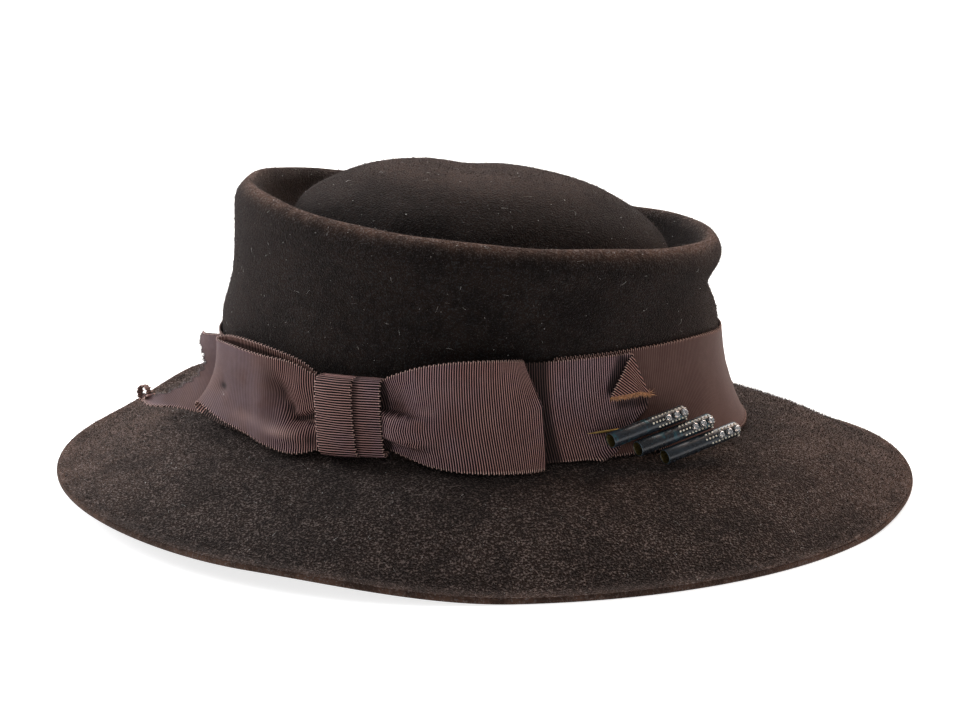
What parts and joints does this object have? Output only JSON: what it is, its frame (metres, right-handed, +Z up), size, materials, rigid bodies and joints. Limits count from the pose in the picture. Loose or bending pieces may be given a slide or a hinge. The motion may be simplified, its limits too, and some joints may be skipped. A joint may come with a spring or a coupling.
{
  "type": "felt hat with ribbon bow",
  "caption": "Felt hat with a telescope crown and a wide sloping brim, trimmed with a grosgrain ribbon band, a flat bow with a forked tail and a stepped ornament of jewelled tubes on a pin.",
  "frame": {"origin": "centre of the bounding box at the plane that the brim rests on", "axes": "+Z up through the crown, +X along the hat's length towards its back, -Y towards the side with the bow"},
  "size_m": [0.3318, 0.2968, 0.1245],
  "materials": {
    "felt": "soft velour felt with a short nap",
    "ribbon": "ribbed grosgrain",
    "gunmetal": "polished blue-black plate",
    "stone": "cut and foil-backed",
    "pin_brass": "aged, slightly dull"
  },
  "bodies": {
    "root": {"felt_body": "felt", "hat_band": "ribbon", "bow_loop_rear": "ribbon", "bow_loop_front": "ribbon", "bow_knot": "ribbon", "bow_tail": "ribbon", "ornament_tube_1": "gunmetal", "ornament_tube_2": "gunmetal", "ornament_tube_3": "gunmetal", "stone_1_1": "stone", "stone_1_2": "stone", "stone_1_3": "stone", "stone_2_1": "stone", "stone_2_2": "stone", "stone_2_3": "stone", "stone_3_1": "stone", "stone_3_2": "stone", "stone_3_3": "stone", "ornament_pin": "pin_brass"}
  },
  "joints": []
}
